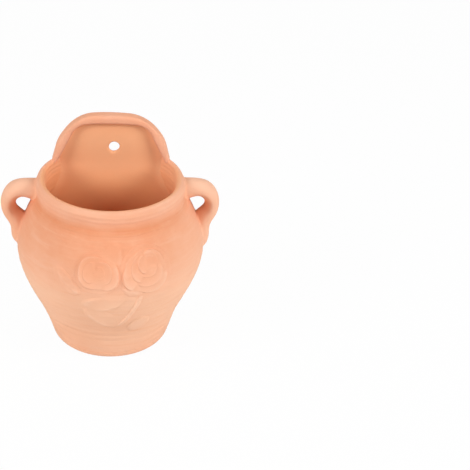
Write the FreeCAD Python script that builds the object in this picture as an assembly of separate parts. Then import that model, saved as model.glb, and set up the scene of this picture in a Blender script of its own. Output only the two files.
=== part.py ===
import FreeCAD
import Part
import os
from math import atan2, cos, degrees, pi, radians, sin, sqrt, tan

# Millimetres and degrees. X runs to the right, Y runs back to the wall (the plane Y = 0), Z runs up from the base.

# round pot form, in steps up from the base: each step's rise above the one before and its outer radius
axis_to_wall = 51.0
base_flat_radius = 53.7
floor_thickness = 9.0
floor_radius = 60.3
waist_rise = 19.0
waist_radius = 65.8
flank_rise = 28.0
flank_radius = 77.9
upper_flank_rise = 28.0
upper_flank_radius = 88.9
belly_rise = 22.0
belly_radius = 92.4
shoulder_rise = 32.0
shoulder_radius = 83.0
neck_rise = 22.0
neck_radius = 72.2
wall_thickness = 7.5
drain_radius = 7.0

# collar and rolled lip of the mouth
rim_height = 16.0
rim_set_back = 0.2
lip_thickness = 8.6
crease_height = 6.0
crease_depth = 1.0

# back slab, the hood it rises into and the thick border of the hood
slab_thickness = 7.5
hood_rise = 45.5
hood_crown = 5.0
hood_lean = 14.3
hood_corner = 39.0
hood_foot_drop = 3.0
hood_foot_margin = 1.6
border_depth = 11.0
border_foot_width = 4.6
border_top_width = 9.0
border_lean = 27.0
border_corner = 14.0
border_crown = 1.0
border_outer_round = 3.2
border_inner_round = 1.0
hole_radius = 5.6
hole_rise = 9.0
hole_side = 3.0

# strap handles
handle_reach = 107.2
handle_thickness = 16.4
handle_width = 22.4
handle_forward = -5.5
handle_drop = 14.0
elbow_drop = 15.4
handle_bend = 16.0
slope_drop = 16.1
slope_reach = 102.2
slope_thickness = 18.4
pad_drop = 19.0
pad_rise = 6.2
pad_thickness = 17.0
handle_end_drop = 13.0

# rose sprigs: angle round the pot from the front, rise above the belly's widest line, petals
rose_left_angle = -7.4
rose_left_rise = 12.3
rose_left_petal_ring = 10.5
rose_left_petal_length = 23.0
rose_left_petal_width = 16.0
rose_right_angle = 20.4
rose_right_rise = 14.5
rose_right_petal_ring = 12.5
rose_right_petal_length = 26.0
rose_right_petal_width = 18.0
petal_count = 6
petal_lift = 2.0
petal_step = 0.5
petal_start = 12.0
rose_heart_span = 14.0
rose_heart_lift = 3.2

# leaf sprigs: angle and rise of the middle, length, width and turn up from level; then lift off the wall
top_leaf_angle = 1.0
top_leaf_rise = 32.0
top_leaf_length = 25.0
top_leaf_width = 19.0
top_leaf_turn = 90.0
side_leaf_angle = -27.0
side_leaf_rise = 4.0
side_leaf_length = 38.0
side_leaf_width = 17.0
side_leaf_turn = -41.0
low_leaf_angle = -5.0
low_leaf_rise = -15.5
low_leaf_length = 44.0
low_leaf_width = 19.0
low_leaf_turn = 12.0
under_leaf_angle = -5.0
under_leaf_rise = -38.0
under_leaf_length = 46.0
under_leaf_width = 21.0
under_leaf_turn = -45.0
calyx_leaf_angle = 12.0
calyx_leaf_rise = -5.0
calyx_leaf_length = 24.0
calyx_leaf_width = 9.0
calyx_leaf_turn = 4.0
small_leaf_angle = 19.5
small_leaf_rise = -52.0
small_leaf_length = 23.0
small_leaf_width = 18.0
small_leaf_turn = 15.0
leaf_lift = 1.9
cap_depth = 8.0

# rolled stem, a bow laid on the wall from the right rose down to the foot of the leaves
stem_radius = 2.4
stem_top_angle = 18.4
stem_top_rise = -8.0
stem_middle_angle = 12.4
stem_middle_rise = -33.0
stem_end_angle = 1.6
stem_end_rise = -55.0

# sizes that follow from the ones above
waist_height = floor_thickness + waist_rise
flank_height = waist_height + flank_rise
upper_flank_height = flank_height + upper_flank_rise
belly_height = upper_flank_height + belly_rise
shoulder_height = belly_height + shoulder_rise
neck_height = shoulder_height + neck_rise
rim_top = neck_height + rim_height
rim_radius = neck_radius - rim_set_back
hood_height = rim_top + hood_rise
hole_height = rim_top + hole_rise
hood_foot = rim_top - hood_foot_drop
slab_face = -slab_thickness
rim_chord = sqrt(rim_radius ** 2 - (axis_to_wall - slab_thickness) ** 2)
hood_foot_half = rim_chord + hood_foot_margin
pot_axis = FreeCAD.Vector(0, -axis_to_wall, 0)
upwards = FreeCAD.Vector(0, 0, 1)
reach = handle_reach + belly_radius


def on_profile(radius, height):
    # a point of the half section that is turned about the pot axis
    return FreeCAD.Vector(radius, -axis_to_wall, height)


def line(first, last):
    return Part.makeLine(first, last)


def arc(first, middle, last):
    return Part.Arc(first, middle, last).toShape()


def smooth_curve(points):
    curve = Part.BSplineCurve()
    curve.interpolate(points)
    return curve


def wall_points(inset):
    stations = [
        (floor_radius, floor_thickness),
        (waist_radius, waist_height),
        (flank_radius, flank_height),
        (upper_flank_radius, upper_flank_height),
        (belly_radius, belly_height),
        (shoulder_radius, shoulder_height),
        (neck_radius, neck_height),
    ]
    return [on_profile(radius - inset, height) for radius, height in stations]


wall_curve = smooth_curve(wall_points(0))


def wall_at(height):
    # outer radius of the wall at a height, and the tilt of its outward normal above level
    low = wall_curve.FirstParameter
    high = wall_curve.LastParameter
    for step in range(50):
        middle = (low + high) / 2
        if wall_curve.value(middle).z < height:
            low = middle
        else:
            high = middle
    along = wall_curve.tangent(low)[0]
    return wall_curve.value(low).x, atan2(-along.x, along.z)


def turned(edges):
    return Part.Face(Part.Wire(edges)).revolve(pot_axis, upwards, 360)


def base_edges():
    # flat underside, then the rounded foot
    heel = on_profile(base_flat_radius, 0)
    top = on_profile(floor_radius, floor_thickness)
    round_x = base_flat_radius + (floor_radius - base_flat_radius) * 0.62
    bulge = on_profile(round_x, floor_thickness * 0.38)
    return [line(on_profile(0, 0), heel), arc(heel, bulge, top)]


def rim_outer_edges():
    # soft crease below a rolled lip that ends at its highest point
    roll = lip_thickness / 2
    crease = on_profile(rim_radius - crease_depth, neck_height + crease_height)
    neck = on_profile(neck_radius, neck_height)
    dip = on_profile(rim_radius - crease_depth * 0.6, neck_height + crease_height * 0.6)
    lip_side = on_profile(rim_radius, rim_top - roll)
    swell = on_profile(rim_radius - crease_depth * 0.2, rim_top - roll - (rim_height - roll - crease_height) * 0.45)
    lip_bend = on_profile(rim_radius - roll + roll * cos(pi / 4), rim_top - roll + roll * sin(pi / 4))
    lip_top = on_profile(rim_radius - roll, rim_top)
    return [arc(neck, dip, crease), arc(crease, swell, lip_side), arc(lip_side, lip_bend, lip_top)]


def pot_form():
    # the whole outside of the pot, filled
    lip_top = on_profile(rim_radius - lip_thickness / 2, rim_top)
    edges = base_edges() + [wall_curve.toShape()] + rim_outer_edges()
    edges += [line(lip_top, on_profile(0, rim_top)), line(on_profile(0, rim_top), on_profile(0, 0))]
    return turned(edges)


def back_block(front, low, high):
    # everything behind a plane parallel to the wall
    return Part.makeBox(2 * reach, -front, high - low, FreeCAD.Vector(-reach, front, low))


def in_front_of_slab(shape):
    return shape.cut(Part.makeBox(2 * reach, 2 * reach, 2 * reach, FreeCAD.Vector(-reach, slab_face, -reach)))


def largest(shape):
    return max(shape.Solids, key=lambda solid: solid.Volume)


def base_floor():
    inner = on_profile(0, floor_thickness)
    top = on_profile(floor_radius, floor_thickness)
    disc = turned(base_edges() + [line(top, inner), line(inner, on_profile(0, 0))])
    drain = Part.makeCylinder(drain_radius, 3 * floor_thickness, pot_axis - upwards * floor_thickness, upwards)
    return largest(in_front_of_slab(disc.cut(drain)))


def pot_wall():
    outer = wall_points(0)
    inner = wall_points(wall_thickness)
    inner_curve = smooth_curve(inner)
    edges = [wall_curve.toShape(), line(outer[-1], inner[-1]), inner_curve.toShape(), line(inner[0], outer[0])]
    return largest(in_front_of_slab(turned(Part.__sortEdges__(edges))))


def mouth_rim():
    roll = lip_thickness / 2
    inner_radius = rim_radius - lip_thickness
    lip_top = on_profile(rim_radius - roll, rim_top)
    bend = on_profile(inner_radius + roll - roll * cos(pi / 4), rim_top - roll + roll * sin(pi / 4))
    lip_inside = on_profile(inner_radius, rim_top - roll)
    foot_inside = on_profile(neck_radius - wall_thickness, neck_height)
    foot_outside = on_profile(neck_radius, neck_height)
    edges = rim_outer_edges() + [arc(lip_top, bend, lip_inside)]
    edges += [line(lip_inside, foot_inside), line(foot_inside, foot_outside)]
    return largest(in_front_of_slab(turned(edges)))


def hood_prism(foot_half, lean, top, crown, corner, depth):
    # an upright plate standing on the hood foot: leaning sides, bowed top, rounded upper corners
    shoulder = top - crown
    top_half = foot_half - (shoulder - hood_foot) * tan(radians(lean))
    foot_left = FreeCAD.Vector(-foot_half, 0, hood_foot)
    foot_right = FreeCAD.Vector(foot_half, 0, hood_foot)
    top_left = FreeCAD.Vector(-top_half, 0, shoulder)
    top_right = FreeCAD.Vector(top_half, 0, shoulder)
    bow = arc(top_right, FreeCAD.Vector(0, 0, top), top_left)
    edges = [line(foot_left, foot_right), line(foot_right, top_right), bow, line(top_left, foot_left)]
    plate = Part.Face(Part.Wire(edges)).extrude(FreeCAD.Vector(0, -depth, 0))
    corners = [e for e in plate.Edges if abs(e.CenterOfMass.z - shoulder) < 0.01 and abs(e.CenterOfMass.x) > top_half / 2]
    return plate.makeFillet(corner, corners)


def hood_inside(depth):
    foot_half = hood_foot_half - border_foot_width
    top = hood_height - border_top_width
    return hood_prism(foot_half, border_lean, top, border_crown, border_corner, depth)


def back_slab():
    chord_low = shoulder_height
    layer = pot_form().common(back_block(slab_face, 0, hood_foot))
    size = (2 * hood_foot_half, slab_thickness, hood_foot - chord_low)
    upright = Part.makeBox(*size, FreeCAD.Vector(-hood_foot_half, slab_face, chord_low))
    hole = Part.makeCylinder(hole_radius, 3 * slab_thickness, FreeCAD.Vector(hole_side, slab_thickness, hole_height),
                             FreeCAD.Vector(0, -1, 0))
    plate = layer.fuse(upright).fuse(hood_inside(slab_thickness)).removeSplitter()
    return largest(plate.cut(hole))


def front_edges(ring, opening, inner):
    # edges on the front of the border: those round the opening, or those round the outside
    found = []
    for edge in ring.Edges:
        middle = edge.valueAt((edge.FirstParameter + edge.LastParameter) / 2)
        level = abs(middle.y + border_depth) < 0.01 and abs(edge.CenterOfMass.y + border_depth) < 0.01
        beside_opening = opening.distToShape(Part.Vertex(middle))[0] < 0.01
        if level and middle.z > hood_foot + 0.5 and beside_opening == inner:
            found.append(edge)
    return found


def hood_border(rim):
    opening = hood_inside(2 * border_depth)
    outline = hood_prism(hood_foot_half, hood_lean, hood_height, hood_crown, hood_corner, border_depth)
    ring = largest(outline.cut(opening))
    ring = ring.makeFillet(border_outer_round, front_edges(ring, opening, False))
    ring = ring.makeFillet(border_inner_round, front_edges(ring, opening, True))
    return largest(ring.cut(rim))


def handle_stations():
    # centre line of the strap on the right side: x, height, half thickness
    half = handle_thickness / 2
    slope_half = slope_thickness / 2
    pad_half = pad_thickness / 2
    arm = rim_top - handle_drop
    elbow = handle_reach - half
    elbow_height = arm - elbow_drop
    slope_height = elbow_height - slope_drop
    pad_height = slope_height - pad_drop
    end_height = pad_height - handle_end_drop
    corner_x = elbow - handle_bend * (1 - cos(pi / 4))
    corner_z = arm - elbow_drop * (1 - sin(pi / 4))
    return [
        (rim_radius - lip_thickness / 2, arm, half),
        (elbow - handle_bend, arm, half),
        (corner_x, corner_z, half),
        (elbow, elbow_height, half),
        (slope_reach - slope_half, slope_height, slope_half),
        (wall_at(pad_height)[0] + pad_rise - pad_half, pad_height, pad_half),
        (wall_at(end_height)[0] - pad_half, end_height, pad_half * 0.8),
    ]


def strap_section(x, height, half, heading):
    # an upright ellipse across the strap, its long way from front to back
    middle = FreeCAD.Vector(x, -axis_to_wall - handle_forward, height)
    across = FreeCAD.Vector(-sin(heading), 0, cos(heading))
    wide = FreeCAD.Vector(0, 1, 0)
    curve = Part.Ellipse(middle + wide * (handle_width / 2), middle + across * half, middle)
    return Part.Wire(curve.toShape())


def handle_right(pot):
    stations = handle_stations()
    path = smooth_curve([FreeCAD.Vector(x, 0, height) for x, height, half in stations])
    sections = []
    for x, height, half in stations:
        along = path.tangent(path.parameter(FreeCAD.Vector(x, 0, height)))[0]
        sections.append(strap_section(x, height, half, atan2(along.z, along.x)))
    strap = Part.makeLoft(sections, True, False)
    return largest(strap.cut(pot))


def mirrored(shape):
    return shape.mirror(FreeCAD.Vector(0, 0, 0), FreeCAD.Vector(1, 0, 0))


def on_wall(angle, height):
    # point, outward normal, level direction and rising direction on the outside of the wall
    radius, tilt = wall_at(height)
    turn = radians(angle)
    outward = FreeCAD.Vector(sin(turn), -cos(turn), 0)
    point = pot_axis + outward * radius + upwards * height
    normal = outward * cos(tilt) + upwards * sin(tilt)
    level = FreeCAD.Vector(cos(turn), sin(turn), 0)
    return point, normal, level, normal.cross(level)


def fall_away(angle, height, half, spin):
    # how far the wall drops below its tangent plane at the ends of a line of the given half length
    point, normal, level, rising = on_wall(angle, height)
    radius, tilt = wall_at(height)
    drops = []
    for way in (-half, half):
        end_angle = angle + degrees(way * cos(spin) / radius)
        end_height = height + way * sin(spin) * cos(tilt)
        drops.append((point - on_wall(end_angle, end_height)[0]).dot(normal))
    return sum(drops) / 2


def dome(angle, height, length, width, lift, turn):
    # an egg sunk in the wall so that only a low oval cap of the given length, width and lift stands proud
    point, normal, level, rising = on_wall(angle, height)
    spin = radians(turn)
    long_way = level * cos(spin) + rising * sin(spin)
    short_way = normal.cross(long_way)
    long_fall = lift + fall_away(angle, height, length / 2, spin)
    short_fall = lift + fall_away(angle, height, width / 2, spin + pi / 2)
    depth = cap_depth + long_fall
    long_axis = length / 2 / sqrt(1 - (1 - long_fall / depth) ** 2)
    short_axis = width / 2 / sqrt(1 - (1 - short_fall / depth) ** 2)
    middle = point - normal * (depth - lift)
    columns = (normal * -depth, short_way * short_axis, long_way * long_axis, middle)
    rows = []
    for part in ("x", "y", "z"):
        rows += [getattr(column, part) for column in columns]
    return Part.makeSphere(1).transformGeometry(FreeCAD.Matrix(*rows, 0, 0, 0, 1))


def rose(pot, angle, height, ring, length, width):
    # a ring of broad petals, high and low by turns, lapping round a raised heart
    radius = wall_at(height)[0]
    flower = dome(angle, height, rose_heart_span, rose_heart_span, rose_heart_lift, 0).cut(pot)
    for number in range(petal_count):
        spin = 2 * pi * number / petal_count + radians(petal_start)
        petal_angle = angle + degrees(ring * cos(spin) / radius)
        petal_height = height + ring * sin(spin)
        lift = petal_lift + petal_step * (number % 2)
        petal = dome(petal_angle, petal_height, length, width, lift, degrees(spin) + 90)
        flower = flower.fuse(petal.cut(pot))
    return flower


def stem():
    points = [
        on_wall(stem_top_angle, belly_height + stem_top_rise)[0],
        on_wall(stem_middle_angle, belly_height + stem_middle_rise)[0],
        on_wall(stem_end_angle, belly_height + stem_end_rise)[0],
    ]
    bow = arc(*points)
    circle = bow.Curve
    along = bow.tangentAt(bow.FirstParameter)
    section = Part.Face(Part.Wire(Part.makeCircle(stem_radius, bow.valueAt(bow.FirstParameter), along)))
    sweep = degrees(bow.LastParameter - bow.FirstParameter)
    return section.revolve(circle.Center, circle.Axis, sweep)


def applied(sprig, *under):
    # the part of a sprig that stands proud of the wall and of the sprigs laid over it
    for shape in under:
        sprig = sprig.cut(shape)
    return largest(sprig)


def build():
    pot = pot_form()
    rim = mouth_rim()
    handle = handle_right(pot)
    right = applied(rose(pot, rose_right_angle, belly_height + rose_right_rise, rose_right_petal_ring,
                         rose_right_petal_length, rose_right_petal_width))
    left = applied(rose(pot, rose_left_angle, belly_height + rose_left_rise, rose_left_petal_ring,
                        rose_left_petal_length, rose_left_petal_width), right)
    top = applied(dome(top_leaf_angle, belly_height + top_leaf_rise, top_leaf_length, top_leaf_width,
                       leaf_lift, top_leaf_turn), pot, left, right)
    low = applied(dome(low_leaf_angle, belly_height + low_leaf_rise, low_leaf_length, low_leaf_width,
                       leaf_lift, low_leaf_turn), pot, left, right)
    side = applied(dome(side_leaf_angle, belly_height + side_leaf_rise, side_leaf_length, side_leaf_width,
                        leaf_lift, side_leaf_turn), pot, left, low)
    under = applied(dome(under_leaf_angle, belly_height + under_leaf_rise, under_leaf_length, under_leaf_width,
                         leaf_lift, under_leaf_turn), pot, low)
    small = applied(dome(small_leaf_angle, belly_height + small_leaf_rise, small_leaf_length, small_leaf_width,
                         leaf_lift, small_leaf_turn), pot)
    calyx = applied(dome(calyx_leaf_angle, belly_height + calyx_leaf_rise, calyx_leaf_length, calyx_leaf_width,
                         leaf_lift, calyx_leaf_turn), pot, right, left, low)
    rod = applied(stem(), pot, right, calyx, low, under, small)
    return {
        "base_floor": base_floor(),
        "pot_wall": pot_wall(),
        "mouth_rim": rim,
        "back_slab": back_slab(),
        "hood_border": hood_border(rim),
        "handle_right": handle,
        "handle_left": mirrored(handle),
        "rose_left": left,
        "rose_right": right,
        "top_leaf": top,
        "side_leaf": side,
        "low_leaf": low,
        "under_leaf": under,
        "calyx_leaf": calyx,
        "small_leaf": small,
        "stem": rod,
    }


os.makedirs("parts", exist_ok=True)
for name, piece in build().items():
    piece.exportStep(f"parts/{name}.step")
    box = piece.BoundBox
    size = [round(value, 1) for value in (box.XMin, box.XMax, box.YMin, box.YMax, box.ZMin, box.ZMax)]
    print(name, piece.ShapeType, "valid" if piece.isValid() else "NOT valid", round(piece.Volume), size)
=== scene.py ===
import math
import bmesh
import bpy
import numpy as np
from mathutils import Matrix


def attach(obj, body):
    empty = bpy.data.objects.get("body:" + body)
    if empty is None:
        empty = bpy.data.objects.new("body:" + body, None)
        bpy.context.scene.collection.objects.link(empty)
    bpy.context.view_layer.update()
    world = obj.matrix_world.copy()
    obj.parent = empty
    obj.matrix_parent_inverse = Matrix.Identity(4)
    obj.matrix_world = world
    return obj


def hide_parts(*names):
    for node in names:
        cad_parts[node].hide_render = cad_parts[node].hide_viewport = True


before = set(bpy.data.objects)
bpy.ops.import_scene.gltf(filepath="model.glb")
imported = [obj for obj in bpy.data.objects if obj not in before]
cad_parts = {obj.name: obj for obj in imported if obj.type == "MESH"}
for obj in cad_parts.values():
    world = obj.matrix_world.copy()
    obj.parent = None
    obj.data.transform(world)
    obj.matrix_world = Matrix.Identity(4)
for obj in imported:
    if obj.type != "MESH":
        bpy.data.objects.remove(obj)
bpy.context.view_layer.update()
print("frame loaded", len(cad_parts), "solids")

# Shapes are worked out in millimetres and degrees and go into the meshes in metres.
# x runs to the right, y back to the wall plane y = 0, z up from the base.
axisBack = -51.0  # y of the pot's turning axis
slabFront = -7.5  # y of the back slab's face
axisToSlab = slabFront - axisBack
fullTurn = 2 * math.pi
mergeWithin = 2e-6  # metres between points that become one


def smoothStep(low, high, value):
    # 0 below low, 1 above high, 3t2 - 2t3 between
    t = np.clip((value - low) / (high - low), 0, 1)
    return t * t * (3 - 2 * t)


def bell(value, middle, spread):
    # 1 at the middle, exp(-t2) to both sides
    return np.exp(-((value - middle) / spread) ** 2)


def filletRise(distance, radius):
    # height of a quarter round at a distance from its corner: r - sqrt(r2 - (r - d)2)
    short = radius - np.clip(distance, 0, radius)
    return radius - np.sqrt(np.maximum(radius ** 2 - short ** 2, 0))


def squaredRound(t, square):
    # cosine and sine pushed out to a superellipse: sign times size to the power 2 / square
    return [np.sign(v) * np.abs(v) ** (2 / square) for v in (np.cos(t), np.sin(t))]


def aroundOnce(count):
    # angles at even steps of one full turn
    return np.linspace(0, fullTurn, count, endpoint=False)


def unit(ways):
    return ways / np.linalg.norm(ways, axis=-1, keepdims=True)


def bentThrough(knots, values, at):
    # natural cubic: a banded system gives the bending at the knots, each span blends its ends
    knots, values, at = (np.asarray(v, float) for v in (knots, values, at))
    gap = np.diff(knots)
    slope = np.diff(values) / gap
    inner = np.arange(1, len(knots) - 1)
    band = np.eye(len(knots))
    band[inner, inner - 1], band[inner, inner + 1] = gap[:-1], gap[1:]
    band[inner, inner] = 2 * (gap[:-1] + gap[1:])
    bending = np.linalg.solve(band, np.concatenate([[0], 6 * np.diff(slope), [0]]))
    k = np.clip(np.searchsorted(knots, at) - 1, 0, len(gap) - 1)
    a, b, h = knots[k + 1] - at, at - knots[k], gap[k]
    low, high = bending[k], bending[k + 1]
    first, second = values[k] / h - low * h / 6, values[k + 1] / h - high * h / 6
    return (low * a ** 3 + high * b ** 3) / (6 * h) + first * a + second * b


def lengthAlong(points):
    return np.concatenate([[0], np.cumsum(np.linalg.norm(np.diff(points, axis=0), axis=1))])


def evenSteps(curve, count):
    # the same curve as points at even steps of its length
    walked = lengthAlong(curve)
    steps = np.linspace(0, walked[-1], count)
    return np.stack([np.interp(steps, walked, column) for column in curve.T], -1)


def evenCurve(points, count):
    # a natural cubic through the points, worked out finely and then walked at even steps
    points = np.asarray(points, float)
    knots = lengthAlong(points)
    fine = np.linspace(0, knots[-1], 40 * count)
    return evenSteps(np.stack([bentThrough(knots, column, fine) for column in points.T], -1), count)


handWork = {
    "seed": 11, "drift": 0.42, "waves": 10, "shortest": 55.0, "longest": 190.0,
    "flatNear": 12.0,  # the drift fades out this close to the back and the base
}
waves = handWork["waves"]
dice = np.random.default_rng(handWork["seed"])
waveWay = unit(dice.normal(size=(waves, 3)))
waveWay *= fullTurn / dice.uniform(handWork["shortest"], handWork["longest"], (waves, 1))
wavePhase = dice.uniform(0, fullTurn, waves)
wavePush = dice.normal(size=(waves, 3)) * handWork["drift"] / math.sqrt(waves)


def handDrift(points):
    # slow unevenness of hand-made clay: one sum of sine waves in space moves every piece alike,
    # so joints still meet; back and base stay flat
    drift = np.sin(points @ waveWay.T + wavePhase) @ wavePush
    drift[..., 1] *= np.clip(-points[..., 1] / handWork["flatNear"], 0, 1)
    drift[..., 2] *= np.clip(points[..., 2] / handWork["flatNear"], 0, 1)
    return points + drift


def gridFaces(rows, columns, aroundRows=False, aroundColumns=False):
    # the quads between neighbouring rows and columns of points numbered row by row
    r, c = np.meshgrid(np.arange(rows - (not aroundRows)),
                       np.arange(columns - (not aroundColumns)), indexing="ij")
    row, nextRow = r * columns, (r + 1) % rows * columns
    nextColumn = (c + 1) % columns
    quads = [row + c, row + nextColumn, nextRow + nextColumn, nextRow + c]
    return np.stack(quads, -1).reshape(-1, 4)


def ringGrid(points):
    # a closed section turned or carried along: the last row joins the first
    return points, gridFaces(*points.shape[:2], aroundRows=True)


def tubeGrid(points):
    # closed loops one after the other: the last column joins the first
    return points, gridFaces(*points.shape[:2], aroundColumns=True)


def addObject(name, data):
    thing = bpy.data.objects.new(name, data)
    bpy.context.scene.collection.objects.link(thing)
    return thing


def makePiece(name, node, material, grids, sharp=50, shade=None):
    # grids of (points, faces) are joined, seams merged, open ends capped, normals turned outwards
    points = np.concatenate([p.reshape(-1, 3) for p, f in grids])
    firsts = np.cumsum([0] + [p.size // 3 for p, f in grids])
    faces = np.concatenate([f + first for (p, f), first in zip(grids, firsts)])
    mesh = bpy.data.meshes.new(name)
    mesh.from_pydata((handDrift(points) / 1000).tolist(), [], faces.tolist())
    if shade is not None:
        mesh.attributes.new("shade", "FLOAT", "POINT").data.foreach_set("value", shade.ravel())
    work = bmesh.new()
    work.from_mesh(mesh)
    bmesh.ops.remove_doubles(work, verts=work.verts, dist=mergeWithin)
    bmesh.ops.holes_fill(work, edges=work.edges, sides=0)
    bmesh.ops.recalc_face_normals(work, faces=work.faces)
    work.to_mesh(mesh)
    work.free()
    mesh.polygons.foreach_set("use_smooth", np.ones(len(mesh.polygons), bool))
    mesh.set_sharp_from_angle(angle=math.radians(sharp))
    mesh.materials.append(material)
    piece = addObject(name, mesh)
    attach(piece, "root")
    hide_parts(node)
    print(name, "stands for", node, "-", len(mesh.polygons), "faces")


# fired clay

clay = {
    # colours by height in metres: pale bloom low down, most orange at the neck with painted shade
    # in the groove under the lip at 0.157, paler lip and hood
    "outside": [(0.000, (0.915, 0.530, 0.350)), (0.040, (0.920, 0.540, 0.355)),
                (0.086, (0.920, 0.545, 0.362)), (0.106, (0.885, 0.475, 0.308)),
                (0.130, (0.840, 0.388, 0.230)), (0.150, (0.815, 0.348, 0.194)),
                (0.157, (0.770, 0.288, 0.140)), (0.165, (0.865, 0.422, 0.268)),
                (0.176, (0.875, 0.445, 0.285)), (0.222, (0.875, 0.420, 0.258))],
    # the slab's face: painted shade, darker and more saturated further down into the pot
    "inside": [(0.100, (0.880, 0.358, 0.140)), (0.140, (0.920, 0.415, 0.185)),
               (0.165, (0.965, 0.495, 0.258)), (0.192, (0.965, 0.505, 0.268)),
               (0.212, (0.935, 0.465, 0.240)), (0.222, (0.925, 0.465, 0.250))],
    # the round wall's inside: painted shade, deeper again
    "shadedWell": [(0.100, (0.830, 0.310, 0.110)), (0.140, (0.850, 0.350, 0.140)),
             (0.165, (0.920, 0.445, 0.220)), (0.222, (0.925, 0.465, 0.250))],
    # the handles, paler than the wall beside them
    "handle": [(0.095, (0.900, 0.500, 0.330)), (0.125, (0.885, 0.445, 0.275)),
               (0.150, (0.895, 0.470, 0.300)), (0.172, (0.920, 0.545, 0.375))],
    # the slab's sides and flat back
    "back": [(0.000, (0.905, 0.510, 0.330)), (0.100, (0.890, 0.465, 0.292)),
             (0.150, (0.865, 0.410, 0.245)), (0.222, (0.872, 0.420, 0.258))],
    "pale": (0.935, 0.620, 0.450),
    "flush": (0.800, 0.320, 0.155),
    "darkGrit": (0.55, 0.21, 0.11),
    "paleGrit": (0.95, 0.66, 0.50),
    # noise: scale, detail, roughness and any stretch
    "cloud": (16, 4, 0.55),
    "patch": (55, 5, 0.60),
    "streak": (1.0, 4, 0.60, (24, 24, 260)),
    "grit": (950, 2, 0.50),
    "fine": (700, 4, 0.62),
    # washes: as a value goes from low to high, a tint covers the colour from one share to another
    "streakPale": (0.52, 0.75, 0.0, 0.22, "pale"),
    "streakFlush": (0.46, 0.25, 0.0, 0.24, "flush"),
    "patchPale": (0.424, 0.72, 0.0, 1.0, "pale"),
    "cloudFlush": (0.32, 0.70, 0.22, 0.0, "flush"),
    # painted light, paler on the right side, and painted shade, a little more flush on the left
    "rightPaintedLight": (0.035, 0.10, 0.0, 0.25, "pale"),
    "leftPaintedShade": (0.00, -0.10, 0.0, 0.06, "flush"),
    # paler on sprig tops, wear with painted highlight; a flush with painted shade on the handles'
    # inner sides and roots, and at the roses' middles
    "wearAndHighlightPale": (0.0, 1.0, 0.0, 0.36, "pale"),
    "paintedShadeAndBlush": (0.0, -1.0, 0.0, 0.42, "flush"),
    "gritDark": (0.30, 0.22, 0.0, 0.35, "darkGrit"),
    "gritPale": (0.70, 0.78, 0.0, 0.40, "paleGrit"),
    "insideShadeShare": 0.85,  # how far the inside's painted-shade colour takes over in the pot
    "slabShadeShare": 0.90,  # and the same painted shade on the slab's face
    "roughness": 0.86, "gloss": 0.22,
    "bump": 0.5, "streakBump": 1.1,
}


def addNode(tree, kind, **settings):
    # each setting goes to the input socket of that name, or else to the node's own property
    node = tree.nodes.new(kind)
    for key, value in settings.items():
        if key in node.inputs.keys():
            node.inputs[key].default_value = value
        else:
            setattr(node, key, value)
    return node


def blendColour(tree, amount, first, second):
    mix = addNode(tree, "ShaderNodeMix", data_type="RGBA")
    sockets = mix.inputs["Factor"], mix.inputs[6], mix.inputs[7]
    for socket, value in zip(sockets, (amount, first, second)):
        if isinstance(value, bpy.types.NodeSocket):
            tree.links.new(value, socket)
        else:
            socket.default_value = (*value, 1)
    return mix.outputs[2]


def noise(tree, place, scale, detail, roughness, stretch=None):
    # noise on object coordinates, squeezed along an axis where the pattern runs in streaks
    if stretch:
        mapping = addNode(tree, "ShaderNodeMapping", Scale=stretch)
        tree.links.new(place, mapping.inputs["Vector"])
        place = mapping.outputs["Vector"]
    node = addNode(tree, "ShaderNodeTexNoise", Scale=scale, Detail=detail, Roughness=roughness)
    tree.links.new(place, node.inputs["Vector"])
    return node.outputs["Fac"]


def span(tree, value, low, high, start=0.0, end=1.0):
    node = addNode(tree, "ShaderNodeMapRange")
    for socket, number in zip(node.inputs[1:5], (low, high, start, end)):
        socket.default_value = number
    tree.links.new(value, node.inputs[0])
    return node.outputs[0]


def heightColour(tree, height, stops):
    # a colour that blends from stop to stop of the height
    ramp = addNode(tree, "ShaderNodeValToRGB")
    low, high = stops[0][0], stops[-1][0]
    while len(ramp.color_ramp.elements) < len(stops):
        ramp.color_ramp.elements.new(1.0)
    for element, (where, tint) in zip(ramp.color_ramp.elements, stops):
        element.position, element.color = (where - low) / (high - low), (*tint, 1)
    tree.links.new(span(tree, height, low, high), ramp.inputs[0])
    return ramp.outputs["Color"]


def wash(tree, colour, value, key, strength=1.0):
    low, high, start, end, tint = clay[key]
    share = span(tree, value, low, high, start * strength, end * strength)
    return blendColour(tree, share, colour, clay[tint])


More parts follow.
